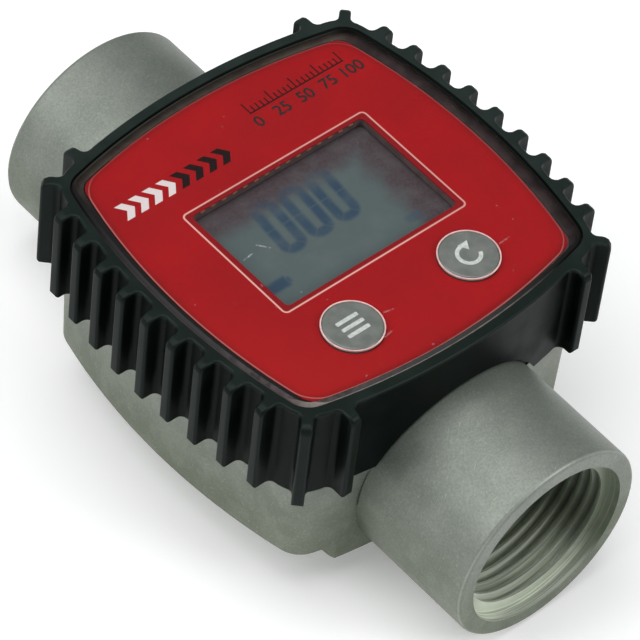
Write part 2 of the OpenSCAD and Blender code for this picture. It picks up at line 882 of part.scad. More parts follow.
module screw(r, head_r, head_h, len) {
    difference() {
        union() {
            cylinder(r = r, h = len);
            translate([0, 0, -head_h]) cylinder(r = head_r, h = head_h);
        }
        for (turn = [0, 90]) rotate([0, 0, turn])
            translate([-head_r * slot_share, -head_r * slot_w_share / 2, -head_h - overrun])
            cube([2 * head_r * slot_share, head_r * slot_w_share, head_h / 2 + overrun]);
    }
}

module housing_screws() {
    seat = tray_bottom + head_depth;
    color([0.72, 0.72, 0.74]) four() translate([post_x, post_y, seat])
        screw(screw_r, screw_head_r, screw_head_h, tray_top + screw_grip - seat);
}

module module_screws() {
    color([0.72, 0.72, 0.74]) four() translate([mod_x, mod_y, plate_z])
        screw(mod_screw_r, mod_head_r, mod_head_h, board_top + mod_screw_grip - plate_z);
}

meter_body();
mirror([0, 1, 0]) flow_guide();  // inlet_flow_guide
flow_guide();  // outlet_flow_guide
mirror([0, 1, 0]) bush();  // inlet_bush
bush();  // outlet_bush
mirror([0, 1, 0]) circlip();  // inlet_circlip
circlip();  // outlet_circlip
turbine_rotor();
turbine_shaft();
rotor_magnets();
display_housing();
tray_gasket();
battery_tray();
rotate([0, 0, 180]) battery_cell();  // battery_cell_left
battery_cell();  // battery_cell_right
battery_contacts();
circuit_board();
controller_chip();
reed_sensor();
display_strips();
display_glass();
display_frame();
mirror([1, 0, 0]) tact_switch();  // menu_switch
tact_switch();  // reset_switch
mirror([1, 0, 0]) plunger();  // menu_plunger
plunger();  // reset_plunger
mirror([1, 0, 0]) button();  // menu_button
button();  // reset_button
mirror([1, 0, 0]) button_seal();  // menu_seal
button_seal();  // reset_seal
face_label();
cover_seal();
clear_cover();
housing_screws();
module_screws();
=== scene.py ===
"""Looks of a digital turbine flow meter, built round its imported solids. Lengths are in metres."""
import json
import math

import bmesh
import bpy
from mathutils import Matrix, Vector

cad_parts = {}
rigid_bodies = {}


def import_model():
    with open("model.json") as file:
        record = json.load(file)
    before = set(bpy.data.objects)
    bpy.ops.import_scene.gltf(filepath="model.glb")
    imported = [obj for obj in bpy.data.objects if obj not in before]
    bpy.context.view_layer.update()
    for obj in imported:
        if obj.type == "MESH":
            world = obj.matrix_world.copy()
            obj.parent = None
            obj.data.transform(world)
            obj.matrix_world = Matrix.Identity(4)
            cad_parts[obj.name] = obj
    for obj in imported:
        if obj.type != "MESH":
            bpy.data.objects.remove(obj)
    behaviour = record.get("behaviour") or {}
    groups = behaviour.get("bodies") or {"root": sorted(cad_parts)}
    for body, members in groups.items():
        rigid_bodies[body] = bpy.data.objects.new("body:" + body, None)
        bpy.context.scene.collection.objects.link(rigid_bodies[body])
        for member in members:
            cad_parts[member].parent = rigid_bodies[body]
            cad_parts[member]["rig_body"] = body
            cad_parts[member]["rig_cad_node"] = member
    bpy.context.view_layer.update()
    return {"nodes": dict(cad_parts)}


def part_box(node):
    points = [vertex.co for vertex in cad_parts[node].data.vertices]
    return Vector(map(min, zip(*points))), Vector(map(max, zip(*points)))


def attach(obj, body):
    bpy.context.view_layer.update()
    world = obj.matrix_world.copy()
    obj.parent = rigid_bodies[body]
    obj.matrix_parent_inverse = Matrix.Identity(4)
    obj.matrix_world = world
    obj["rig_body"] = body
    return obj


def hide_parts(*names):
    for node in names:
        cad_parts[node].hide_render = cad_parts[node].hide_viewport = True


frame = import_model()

MM = 0.001


# Shader maths

class Value:
    """A socket of a material's nodes. Sums and products of values add Math nodes."""

    def __init__(self, shade, socket):
        self.shade = shade
        self.socket = socket

    def __add__(self, other):
        return self.shade.math("ADD", self, other)

    def __radd__(self, other):
        return self.shade.math("ADD", other, self)

    def __sub__(self, other):
        return self.shade.math("SUBTRACT", self, other)

    def __rsub__(self, other):
        return self.shade.math("SUBTRACT", other, self)

    def __mul__(self, other):
        return self.shade.math("MULTIPLY", self, other)

    def __rmul__(self, other):
        return self.shade.math("MULTIPLY", other, self)

    def __abs__(self):
        return self.shade.math("ABSOLUTE", self)

    def __mod__(self, other):
        return self.shade.math("FLOORED_MODULO", self, other)

    def low(self, other):
        return self.shade.math("MINIMUM", self, other)

    def high(self, other):
        return self.shade.math("MAXIMUM", self, other)

    def root(self):
        return self.shade.math("SQRT", self)

    def rise(self, start, end):
        """0 up to start, 1 from end on, and smooth between them."""
        return self.shade.node(
            "ShaderNodeMapRange",
            {"interpolation_type": "SMOOTHSTEP"},
            {"Value": self, "From Min": start, "From Max": end},
        )

    def fall(self, start, end):
        return 1 - self.rise(start, end)


class Shade:
    """A material under construction. Its maths counts in millimetres."""

    def __init__(self, name, **constants):
        self.material = bpy.data.materials.new(name)
        self.material.use_nodes = True
        self.tree = self.material.node_tree
        self.shader = self.tree.nodes["Principled BSDF"]
        for socket, value in constants.items():
            self.put(socket.replace("_", " "), value)
        place = self.node("ShaderNodeTexCoord", out="Object")
        self.place = self.node(
            "ShaderNodeVectorMath", {"operation": "SCALE"}, {"Vector": place, "Scale": 1 / MM}
        )
        parts = self.node("ShaderNodeSeparateXYZ", inputs={"Vector": self.place}, out=None)
        self.x = Value(self, parts.outputs["X"])
        self.y = Value(self, parts.outputs["Y"])
        self.z = Value(self, parts.outputs["Z"])

    def node(self, kind, settings=None, inputs=None, out=0):
        """Adds a node. A number or a Value goes into each named or numbered input."""
        made = self.tree.nodes.new(kind)
        for key, value in (settings or {}).items():
            setattr(made, key, value)
        for key, value in (inputs or {}).items():
            self.join(value, made.inputs[key])
        return made if out is None else Value(self, made.outputs[out])

    def join(self, value, socket):
        if isinstance(value, Value):
            self.tree.links.new(value.socket, socket)
        else:
            socket.default_value = value

    def put(self, socket, value):
        if socket in ("Base Color", "Emission Color") and not isinstance(value, Value):
            value = (*value, 1)
        self.join(value, self.shader.inputs[socket])

    def math(self, operation, first, second=0.0):
        return self.node("ShaderNodeMath", {"operation": operation}, {0: first, 1: second})

    def noise(self, size, detail=2.0, place=None, rough=0.5):
        """Noise from 0 to 1 whose features are about size millimetres wide."""
        return self.node(
            "ShaderNodeTexNoise",
            inputs={
                "Vector": place or self.place,
                "Scale": 1 / size,
                "Detail": detail,
                "Roughness": rough,
            },
        )

    def turned(self, turn, stretch):
        """The place turned by three angles in degrees and divided by stretch along its own axes."""
        return self.node(
            "ShaderNodeMapping",
            {"vector_type": "TEXTURE"},
            {
                "Vector": self.place,
                "Rotation": [math.radians(a) for a in turn],
                "Scale": stretch,
            },
        )

    def dashes(self, turn, length, width, cut):
        """Sparse short strokes, as scratches lie on a surface."""
        strokes = self.noise(1.0, 0.0, self.turned(turn, (length, width, length)))
        return strokes.rise(cut, cut + 0.05)

    def mix(self, share, first, second):
        """Colour first where share is 0 and second where it is 1."""
        ends = [v if isinstance(v, Value) else (*v, 1) for v in (first, second)]
        return self.node(
            "ShaderNodeMix",
            {"data_type": "RGBA"},
            {0: share, 6: ends[0], 7: ends[1]},
            out=2,
        )

    def bump(self, height, depth):
        """Height, from 0 to 1, raises the surface by depth millimetres."""
        inputs = {"Height": height, "Distance": depth * MM, "Strength": 1.0}
        return self.node("ShaderNodeBump", inputs=inputs)

    def box(self, centre, size, corner=0.0):
        """Distance, in millimetres, to the edge of a rounded rectangle. It is negative inside."""
        across = abs(self.x - centre[0]) - (size[0] / 2 - corner)
        along = abs(self.y - centre[1]) - (size[1] / 2 - corner)
        return rounded(across, along, corner)

    def bowed(self, half_x, half_y, bow, corner):
        """The same for a shape with four bowed sides, such as the label."""
        side_x = abs(self.x) + (bow - half_x)
        side_y = abs(self.y) + (bow - half_y)
        across = (side_x * side_x + self.y * self.y).root() - (bow - corner)
        along = (side_y * side_y + self.x * self.x).root() - (bow - corner)
        return rounded(across, along, corner)

    def stroke(self, start, end):
        """Distance, in millimetres, from a straight stroke seen from above."""
        span = Vector(end) - Vector(start)
        way = span.normalized()
        x, y = self.x - start[0], self.y - start[1]
        along = (x * way.x + y * way.y).high(0.0).low(span.length)
        off_x, off_y = x - along * way.x, y - along * way.y
        return (off_x * off_x + off_y * off_y).root()

    def backward(self):
        """Millimetres from the centre towards the far corner, as the photograph shows the meter."""
        return self.x + self.y

    def rightward(self):
        """Millimetres from the centre towards the right corner, as the photograph shows it."""
        return self.x - self.y

    def round_axis(self):
        """Distance, in millimetres, from the pipe's axis."""
        rise = self.z - AXIS_Z
        return (self.x * self.x + rise * rise).root()


def rounded(across, along, corner):
    """Distance to the edge of a corner, from the distances past the ends of its two sides."""
    outside_x, outside_y = across.high(0.0), along.high(0.0)
    outside = (outside_x * outside_x + outside_y * outside_y).root()
    return outside + across.high(along).low(0.0) - corner


SOFT_EDGE = 0.06


def line(distance, width):
    """1 on a line of that width along distance 0."""
    return abs(distance).fall(width / 2 - SOFT_EDGE, width / 2 + SOFT_EDGE)


def inside(distance, soft=SOFT_EDGE):
    return distance.fall(-soft, soft)


# Modelling by hand

def only(piece):
    """Makes one object the active and only selected one."""
    if bpy.context.mode != "OBJECT":
        bpy.ops.object.mode_set(mode="OBJECT")
    bpy.ops.object.select_all(action="DESELECT")
    piece.select_set(True)
    bpy.context.view_layer.objects.active = piece


def edit(piece, mode="EDGE"):
    only(piece)
    bpy.ops.object.mode_set(mode="EDIT")
    bpy.ops.mesh.select_mode(type=mode)
    bpy.ops.mesh.select_all(action="DESELECT")


def leave():
    bpy.ops.object.mode_set(mode="OBJECT")


def refined(node, name):
    """A copy of a solid whose doubles are merged and flat faces joined. It stands for the solid."""
    piece = frame["nodes"][node].copy()
    piece.data = piece.data.copy()
    piece.name = name
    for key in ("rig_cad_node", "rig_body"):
        del piece[key]
    piece.parent = None
    bpy.context.collection.objects.link(piece)
    piece.data.materials.clear()
    only(piece)
    bpy.ops.mesh.customdata_custom_splitnormals_clear()
    edit(piece)
    bpy.ops.mesh.select_all(action="SELECT")
    bpy.ops.mesh.remove_doubles(threshold=0.001 * MM)
    bpy.ops.mesh.dissolve_limited(angle_limit=math.radians(0.1))
    leave()
    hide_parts(node)
    return piece


def pick_verts(piece, wanted):
    """Opens a piece for editing with only the vertices selected for which wanted(place) is true."""
    edit(piece, "VERT")
    mesh = bmesh.from_edit_mesh(piece.data)
    for vert in mesh.verts:
        if wanted(vert.co / MM):
            vert.select_set(True)
    bmesh.update_edit_mesh(piece.data)


def round_edges(piece, width, wanted, segments=2, sharp=30, material=-1):
    """Bevels, width millimetres wide, the sharp edges for which wanted(end, other end) is true."""
    edit(piece)
    mesh = bmesh.from_edit_mesh(piece.data)
    for edge in mesh.edges:
        if len(edge.link_faces) != 2 or edge.calc_face_angle(0) < math.radians(sharp):
            continue
        if wanted(*(v.co / MM for v in edge.verts)):
            edge.select_set(True)
    bmesh.update_edit_mesh(piece.data)
    bpy.ops.mesh.bevel(
        offset=width * MM, segments=segments, affect="EDGES", clamp_overlap=True, material=material
    )
    leave()


def everywhere(a, b):
    return True


def smooth(piece, angle=35):
    """Smooth shading with sharp edges kept and flat faces shaded flat."""
    only(piece)
    bpy.ops.object.shade_smooth_by_angle(angle=math.radians(angle))
    bpy.ops.object.modifier_add(type="WEIGHTED_NORMAL")
    evened = piece.modifiers[-1]
    evened.keep_sharp = True
    bpy.ops.object.modifier_apply(modifier=evened.name)


def finish(piece, material, body="meter"):
    """Gives a piece its material, body and material slot."""
    if not piece.data.materials:
        piece.data.materials.append(material)
    else:
        piece.data.materials[0] = material
    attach(piece, body)
    return piece


def paint(node, material):
    """Gives a solid that shows as it is a better material."""
    solid = frame["nodes"][node]
    solid.data.materials.clear()
    solid.data.materials.append(material)


# Places, read off the solids

label_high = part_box("face_label")[1]
cover_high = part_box("clear_cover")[1]
case_low, case_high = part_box("display_housing")
body_low, body_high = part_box("meter_body")
glass_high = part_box("display_glass")[1]
screws_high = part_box("housing_screws")[1]


def middle(node):
    low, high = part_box(node)
    return (low + high) / 2


LABEL_TOP = label_high.z / MM
LABEL_HALF = (label_high.x / MM, label_high.y / MM)
LABEL_BOW = 119.0
LABEL_CORNER = 3.3
CASE_TOP = case_high.z / MM
CASE_BOTTOM = case_low.z / MM
COVER_TOP = cover_high.z / MM
COVER_HALF = (cover_high.x / MM, cover_high.y / MM)
COVER_BOW = 127.4
COVER_CORNER = 4.6
WALL_HALF = (COVER_HALF[0] + 1.6, COVER_HALF[1] + 2.2)
WALL_BOW = 129.0
WALL_CORNER = 6.5
BODY_HALF_X = body_high.x / MM
MOUTH_Y = body_high.y / MM
AXIS_Z = middle("turbine_shaft").z / MM
MOUTH_R = AXIS_Z - body_low.z / MM
BUTTONS = [(middle(node).x / MM, middle(node).y / MM) for node in ("menu_button", "reset_button")]
HOLE_R = 5.7
SCREW_HEAD_R = 3.3
SCREW_BOSS_R = 4.2
SCREW_AT = (screws_high.x / MM - SCREW_HEAD_R, screws_high.y / MM - SCREW_HEAD_R)
LEVEL = 0.05


# Materials

MOUTH_WEAR_GLINT_R = (MOUTH_R - 0.95, MOUTH_R - 0.55)
MOUTH_WEAR_GLINT_Y = (MOUTH_Y - 0.65, MOUTH_Y - 0.25)
CAST_TOP_LIGHT_Z = (14.0, 36.0)


def cast_metal():
    """Bead-blasted casting: grey with a green cast, speckled, with bright short scratches. Painted
    light makes it lighter and bluer towards the top, and the mouth's outer edge is lighter from edge
    wear and a painted highlight.
    """
    shade = Shade("cast_metal", Metallic=0.5)
    mottle = shade.noise(9.0, 3.0).rise(0.35, 0.65)
    grain = shade.noise(0.4, 2.0, rough=0.7)
    specks = shade.noise(0.55, 1.0).rise(0.62, 0.74)
    scratches = shade.dashes((20, 35, 50), 1.4, 0.09, 0.825)
    scratches = scratches.high(shade.dashes((-40, 10, -25), 1.1, 0.08, 0.835))
    blotches = shade.noise(3.5, 4.0).rise(0.50, 0.64)
    # Painted light: the darker, greener low tone shades the lower casting, and the lighter, bluer
    # high tone lights it towards the top.
    low = shade.mix(mottle, (0.126, 0.148, 0.102), (0.174, 0.195, 0.147))
    high = shade.mix(mottle, (0.210, 0.235, 0.205), (0.245, 0.268, 0.237))
    base = shade.mix(shade.z.rise(*CAST_TOP_LIGHT_Z), low, high)
    base = shade.mix(blotches * 0.16, base, (0.30, 0.33, 0.27))
    base = shade.mix(grain.rise(0.3, 0.7) * 0.32, base, (0.095, 0.108, 0.085))
    base = shade.mix((scratches * 0.6).high(specks * 0.12), base, (0.50, 0.53, 0.46))
    # Lighter along the mouth's outer edge: edge wear and a painted highlight where the rounded edge
    # catches the light.
    wear_and_light = shade.round_axis().rise(*MOUTH_WEAR_GLINT_R) * abs(shade.y).rise(*MOUTH_WEAR_GLINT_Y)
    wear_and_light = wear_and_light * (0.25 + mottle * 0.35)
    base = shade.mix(wear_and_light, base, (0.50, 0.54, 0.46))
    shade.put("Base Color", base)
    shade.put("Roughness", 0.42 + grain * 0.14)
    shade.put("Normal", shade.bump(grain, 0.02))
    return shade.material


RING_STRETCH = (24.0, 0.30, 24.0)
RELIEF_DEPTHS = (1.25, 2.5)


def turned_metal():
    """The threads and the bore: turned rings, with painted light along the floor near the mouth and
    two thin painted highlights in the relief.
    """
    shade = Shade("turned_metal", Metallic=0.55)
    rings = shade.noise(1.0, 2.0, shade.turned((0, 0, 0), RING_STRETCH))
    stain = shade.noise(4.0, 3.0).rise(0.4, 0.7)
    depth = MOUTH_Y - abs(shade.y)
    # Painted light: the bore's floor near the mouth is painted bright where light falls in, fading
    # with depth.
    bright = (AXIS_Z - shade.z - shade.x * 0.6).rise(-1.0, 10.0) * depth.fall(8.0, 26.0)
    base = shade.mix(stain * 0.5, (0.24, 0.275, 0.21), (0.15, 0.175, 0.13))
    base = shade.mix(bright * (0.40 + rings.rise(0.40, 0.60) * 0.60), base, (0.84, 0.88, 0.77))
    # Painted highlights: two thin bright lines where the relief's steps catch the light.
    step_glints = line(depth - RELIEF_DEPTHS[0], 0.3).high(line(depth - RELIEF_DEPTHS[1], 0.35))
    base = shade.mix(step_glints * (0.10 + stain * 0.20), base, (0.62, 0.67, 0.56))
    shade.put("Base Color", base)
    shade.put("Roughness", 0.30 + rings * 0.16)
    shade.put("Normal", shade.bump(rings, 0.02))
    return shade.material


RIM_FADE_Z = (CASE_TOP - 1.0, CASE_TOP - 0.1)
FLANK_FADE_Z = (CASE_TOP - 4.0, CASE_TOP - 0.8)
HEAD_FADE = (2.2, 3.2)
FAR_DUST_AND_LIGHT = (-20.0, 50.0)


def housing_plastic():
    """Near-black nylon with a green cast and dust, duller where dusty. Painted shade makes it black
    between the ribs; the rim and the rib heads get a lighter tone of wear and painted light, lighter
    still on the far side, where more dust lies too.
    """
    shade = Shade(
        "housing_plastic",
        Specular_IOR_Level=0.06,
        Specular_Tint=(0.72, 1.0, 0.88, 1),
        Coat_Roughness=0.32,
    )
    grain = shade.noise(0.5, 3.0)
    dust = shade.noise(6.0, 4.0).rise(0.4, 0.7)
    out = shade.bowed(*WALL_HALF, WALL_BOW, WALL_CORNER)
    rim = shade.z.rise(*RIM_FADE_Z)
    # Painted light: the far side is lighter, and more dust lies there.
    far = shade.backward().rise(*FAR_DUST_AND_LIGHT)
    rim = rim.high(shade.z.rise(*FLANK_FADE_Z) * far * 0.75)
    # Painted shade: this mask is 0 between the ribs and down the walls, which turn near-black. It is
    # 1 on the rim and 0.5 on the rib heads, which take the lighter tone and more dust.
    lit_and_dusty = (out.rise(*HEAD_FADE) * 0.5).high(rim)
    wear_and_light = shade.mix(far, (0.0082, 0.0128, 0.0108), (0.0150, 0.0225, 0.0200))
    base = shade.mix(lit_and_dusty, (0.0012, 0.0024, 0.0019), wear_and_light)
    base = shade.mix(dust * (0.10 + lit_and_dusty * (0.15 + far * 0.45)), base, (0.020, 0.029, 0.026))
    scuffs = shade.dashes((10, 20, 65), 1.3, 0.10, 0.87)
    base = shade.mix(scuffs * 0.18, base, (0.10, 0.115, 0.105))
    shade.put("Base Color", base)
    shade.put("Roughness", 0.38 + dust * 0.12)
    shade.put("Coat Weight", 0.02 + lit_and_dusty * 0.08)
    shade.put("Normal", shade.bump(grain, 0.012))
    return shade.material


# How far backward or rightward a colour changes on the label, the seal and the cover's edge
NEAR_HALF = (-8.0, 8.0)
NEAR_EDGE = (-30.0, -6.0)
FAR_EDGE = (-6.0, 10.0)
LEFT_HALF = (-6.0, 6.0)
FRONT_LABEL = (-60.0, -25.0)
FRONT_CORNER = (-62.0, -42.0)

LINE_CENTRE = (0.5, 0.95)
LINE_SIZE = (41.9, 27.7)
LINE_CORNER = 0.9
LINE_WIDTH = 0.34
EDGE_LINE_IN = 0.15
EDGE_LINE_WIDTH = 0.28
CHEVRON_BAND = (-28.4, -3.0)
CHEVRON_SPLIT = -16.3
CHEVRON_Y = 21.5
CHEVRON_TALL = 3.8
CHEVRON_PITCH = 3.1
CHEVRON_WIDE = 1.7
CHEVRON_LEAN = 0.75
SCALE_BAND = (5.0, 26.6)
SCALE_Y = 27.0
SCALE_TICKS = 20
TICK_WIDE = 0.32
TICK_TALL = 1.5
LONG_TICK_TALL = 2.7
RULE_WIDE = 0.36
RED = (0.325, 0.0040, 0.0060)
DEEP_RED = (0.250, 0.0040, 0.0065)
PALE_PINK = (0.72, 0.36, 0.32)
PRINT_BLACK = (0.012, 0.004, 0.004)


def label_film():
    """Red print under the cover: a light border line, a chevron band and a plain tick scale. Painted
    light brightens the front corner and adds a pink glint along the edge; painted shade darkens the
    red inside the border line.
    """
    shade = Shade(
        "label_film", Roughness=0.6, Specular_IOR_Level=0.08, Coat_Weight=0.14, Coat_Roughness=0.04
    )
    mottle = shade.noise(14.0, 3.0).rise(0.3, 0.7)
    fine = shade.noise(0.9, 2.0)
    near = shade.backward().fall(*NEAR_HALF)
    base = shade.mix(mottle * 0.6, RED, DEEP_RED)
    base = shade.mix(fine.rise(0.4, 0.8) * 0.15, base, (0.43, 0.010, 0.014))
    # Painted light: a brighter red towards the front corner.
    front = shade.backward().fall(*FRONT_LABEL)
    base = shade.mix(front * 0.45, base, (0.40, 0.009, 0.008))
    edge = shade.bowed(*LABEL_HALF, LABEL_BOW, LABEL_CORNER)
    base = shade.mix(edge.rise(-1.6, -0.2) * 0.45, base, (0.16, 0.004, 0.006))
    # Painted highlight: a pink glint along the label's edge, stronger on the near sides.
    rim_line = line(edge + EDGE_LINE_IN, EDGE_LINE_WIDTH)
    base = shade.mix(rim_line * (0.15 + near * 0.5), base, (0.50, 0.17, 0.15))

    border = shade.box(LINE_CENTRE, LINE_SIZE, LINE_CORNER)
    # Painted shade: darker red inside the pale printed line, round the window. The printed line is a
    # little lighter on the near sides, which is painted light.
    base = shade.mix(inside(border, 0.2) * 0.6, base, (0.16, 0.005, 0.008))
    base = shade.mix(line(border, LINE_WIDTH) * (0.75 + near * 0.2), base, PALE_PINK)

    slant = shade.x + abs(shade.y - CHEVRON_Y) * CHEVRON_LEAN
    stroke = abs(slant % CHEVRON_PITCH - CHEVRON_PITCH / 2)
    middle_x = (CHEVRON_BAND[0] + CHEVRON_BAND[1]) / 2
    half_x = (CHEVRON_BAND[1] - CHEVRON_BAND[0]) / 2
    band = (abs(slant - middle_x) - half_x).high(abs(shade.y - CHEVRON_Y) - CHEVRON_TALL / 2)
    chevrons = inside(band) * inside(stroke - CHEVRON_WIDE / 2)
    late = slant.rise(CHEVRON_SPLIT - 0.05, CHEVRON_SPLIT + 0.05)
    tone = shade.mix(late, (0.66, 0.58, 0.57), PRINT_BLACK)
    base = shade.mix(chevrons, base, tone)

    pitch = (SCALE_BAND[1] - SCALE_BAND[0]) / SCALE_TICKS
    span = SCALE_BAND[1] - SCALE_BAND[0] + TICK_WIDE
    centre_x = (SCALE_BAND[0] + SCALE_BAND[1]) / 2
    along = shade.x - SCALE_BAND[0] + pitch / 2
    tick = abs(along % pitch - pitch / 2).fall(TICK_WIDE / 2 - 0.04, TICK_WIDE / 2 + 0.04)
    fifth = abs(along % (5 * pitch) - pitch / 2).fall(pitch / 2 - 0.05, pitch / 2)
    rise = (LONG_TICK_TALL - TICK_TALL) / 2
    short = inside(shade.box((centre_x, SCALE_Y), (span, TICK_TALL)))
    tall = inside(shade.box((centre_x, SCALE_Y + rise), (span, LONG_TICK_TALL)))
    rule = inside(shade.box((centre_x, SCALE_Y - TICK_TALL / 2), (span, RULE_WIDE)))
    ticks = (tick * short.high(fifth * tall)).high(rule)
    base = shade.mix(ticks * 0.92, base, PRINT_BLACK)
    shade.put("Base Color", base)
    return shade.material


DIGIT_TALL = 12.8
DIGIT_WIDE = 5.45
DIGIT_PITCH = 6.2
DIGIT_STROKE = 1.9
DIGIT_ROUND = 1.5
DIGIT_CENTRE = (-0.95, 4.2)
DIGIT_LEAN = 0.09
SEGMENT_GAP = 0.35
DIGITS = 3
DISPLAY_BLUR = 0.5
DARK_ABOVE = (3.5, 13.0)
DARK_RIGHT = (9.0, 19.0)
FAINT_ABOVE = (5.0, 10.5)
CELL_ICON = ((-16.5, -6.1), (5.0, 2.4), 0.2)
CELL_TIP = ((-13.7, -6.1), (0.6, 1.2), 0.1)
MARK_ICON = ((13.4, -8.3), (3.4, 1.9), 0.5)


def display_film():
    """Grey reflective display with three blue zeros, with painted shade towards its upper and right
    edges; the zeros fade towards the top.
    """
    shade = Shade(
        "display_film", Roughness=0.5, Specular_IOR_Level=0.2, Coat_Weight=0.25, Coat_Roughness=0.05
    )
    cloud = shade.noise(3.5, 4.0)
    fine = shade.noise(0.5, 2.0)
    # Painted shade: darker and purplish towards the upper and right edges.
    deep = shade.y.rise(*DARK_ABOVE).high(shade.x.rise(*DARK_RIGHT))
    deep = (deep + (cloud - 0.5) * 0.6).rise(0.1, 0.95)
    base = shade.mix(deep, (0.074, 0.103, 0.103), (0.052, 0.034, 0.040))
    haze = shade.noise(5.0, 4.0, rough=0.6).rise(0.45, 0.75)
    base = shade.mix(haze * 0.18, base, (0.150, 0.165, 0.155))
    base = shade.mix(fine.rise(0.3, 0.7) * 0.25, base, (0.085, 0.090, 0.092))

    half_row = DIGITS * DIGIT_PITCH / 2
    y = shade.y - DIGIT_CENTRE[1]
    x = shade.x - DIGIT_CENTRE[0] - y * DIGIT_LEAN + half_row
    across = abs(x % DIGIT_PITCH - DIGIT_PITCH / 2)
    out_x = across - (DIGIT_WIDE - DIGIT_STROKE) / 2
    out_y = abs(y) - (DIGIT_TALL - DIGIT_STROKE) / 2
    outline = abs(rounded(out_x + DIGIT_ROUND, out_y + DIGIT_ROUND, DIGIT_ROUND))
    digits = inside(outline - DIGIT_STROKE / 2, DISPLAY_BLUR)
    digits = digits * abs(out_x - out_y).rise(-SEGMENT_GAP, SEGMENT_GAP)
    digits = digits * abs(y).rise(-SEGMENT_GAP, SEGMENT_GAP)
    digits = digits * inside(abs(x - half_row) - half_row)
    cell, tip, mark = (
        inside(shade.box(*icon), DISPLAY_BLUR) for icon in (CELL_ICON, CELL_TIP, MARK_ICON)
    )
    icons = cell.high(tip).high(mark * 0.6)
    # The zeros fade towards the top under the painted shade, and unevenly at random.
    wear_and_light = 0.55 + cloud.rise(0.25, 0.6) * 0.35 - shade.y.rise(*FAINT_ABOVE) * 0.45
    base = shade.mix(digits.high(icons) * wear_and_light, base, (0.018, 0.045, 0.082))
    shade.put("Base Color", base)
    return shade.material


# Each scratch on the cover: its two ends, and how strong it is
SCRATCHES = (
    ((-15.3, 1.1), (-13.8, -0.8), 0.9),
    ((-19.2, -0.3), (-17.2, 0.0), 0.9),
    ((18.3, -24.0), (21.2, -23.9), 0.4),
    ((-11.2, -27.9), (-9.4, -27.6), 0.45),
    ((-7.9, -23.6), (-5.8, -24.1), 0.45),
)
SCRATCH_FADE = (0.08, 0.24)


def clear_plastic():
    """The cover: nearly invisible over the label, with hairline scratches and specks."""
    shade = Shade("clear_plastic", IOR=1.49)
    scratches = shade.dashes((0, 0, 35), 2.6, 0.05, 0.88)
    scratches = scratches.high(shade.dashes((0, 0, -20), 1.8, 0.05, 0.89))
    specks = shade.noise(0.8, 0.0).rise(0.875, 0.895)
    top = shade.z.rise(COVER_TOP - 0.2, COVER_TOP - 0.1)
    broken = shade.noise(0.7).rise(0.3, 0.6) * top
    marks = scratches.high(specks) * 0.35
    for start, end, strength in SCRATCHES:
        scratch = shade.stroke(start, end).fall(*SCRATCH_FADE)
        marks = marks.high(scratch * broken * strength)
    shade.put("Base Color", shade.mix(marks, (0.5, 0.5, 0.5), (0.75, 0.70, 0.70)))
    shade.put("Roughness", 0.05 + marks * 0.4)
    shade.put("Alpha", 0.004 + marks * 0.40)
    return shade.material


GLINT_FADE = (-0.30, -0.16)


def cover_edge():
    """The cover's bevelled edge, coloured with painted reflections: dark, greyer on the far sides, a
    pink painted reflection at the front and a fine painted highlight outside on the near sides.
    """
    shade = Shade("cover_edge", Roughness=0.30, Specular_IOR_Level=0.15)
    shimmer = shade.noise(1.6, 3.0).rise(0.3, 0.7)
    near = shade.backward().fall(*NEAR_EDGE)
    left = shade.rightward().fall(*LEFT_HALF)
    front = shade.backward().fall(*FRONT_CORNER)
    edge = shade.bowed(*COVER_HALF, COVER_BOW, COVER_CORNER)
    # Painted reflection: greyer on the far sides, palest towards the left corner.
    far = shade.mix(left, (0.018, 0.018, 0.016), (0.052, 0.049, 0.042))
    base = shade.mix(shade.backward().rise(*FAR_EDGE), (0.008, 0.007, 0.007), far)
    # Painted reflection: a shimmering pink patch at the front corner.
    base = shade.mix(front * shimmer * 0.5, base, (0.15, 0.105, 0.11))
    # Painted highlight: a fine bright line along the outer edge on the near sides.
    bright = shade.mix(left, (0.38, 0.35, 0.31), (0.11, 0.080, 0.082))
    bright = shade.mix(shimmer * 0.4, bright, (0.05, 0.04, 0.04))
    base = shade.mix(edge.rise(*GLINT_FADE) * near, base, bright)
    shade.put("Base Color", base)
    return shade.material


def seal_band():
    """Between the label and the cover's edge: dark at -X and -Y, with a grey-brown painted
    reflection on the far sides.
    """
    shade = Shade("seal_band", Roughness=0.3, Specular_IOR_Level=0.3)
    near = shade.backward().fall(*NEAR_HALF)
    cloud = shade.noise(2.5, 2.0)
    left = shade.rightward().fall(*LEFT_HALF)
    # Painted reflection: grey-brown on the far sides, lighter towards the left corner.
    right_far = shade.mix(cloud.rise(0.3, 0.7), (0.022, 0.014, 0.014), (0.042, 0.029, 0.028))
    left_far = shade.mix(cloud.rise(0.3, 0.7), (0.060, 0.046, 0.037), (0.085, 0.068, 0.056))
    far = shade.mix(left, right_far, left_far)
    shade.put("Base Color", shade.mix(near, far, (0.006, 0.004, 0.004)))
    return shade.material


def button_plastic():
    shade = Shade("button_plastic", Roughness=0.34, Coat_Weight=0.2, Coat_Roughness=0.12)
    cloud = shade.noise(2.2, 3.0).rise(0.3, 0.7)
    shade.put("Base Color", shade.mix(cloud, (0.125, 0.135, 0.122), (0.165, 0.175, 0.160)))
    shade.put("Normal", shade.bump(shade.noise(0.4, 1.0), 0.006))
    return shade.material


def plain(name, colour, rough=0.5, metallic=0.0, spread=0.25, size=1.0, depth=0.01):
    """A moulded or turned finish: one colour with a fine variation, and a grain in the surface."""
    shade = Shade(name, Metallic=metallic)
    grain = shade.noise(size, 3.0)
    dark = tuple(c * (1 - spread) for c in colour)
    shade.put("Base Color", shade.mix(grain.rise(0.3, 0.7), dark, colour))
    shade.put("Roughness", rough * 0.85 + grain * (rough * 0.3))
    shade.put("Normal", shade.bump(grain, depth))
    return shade.material


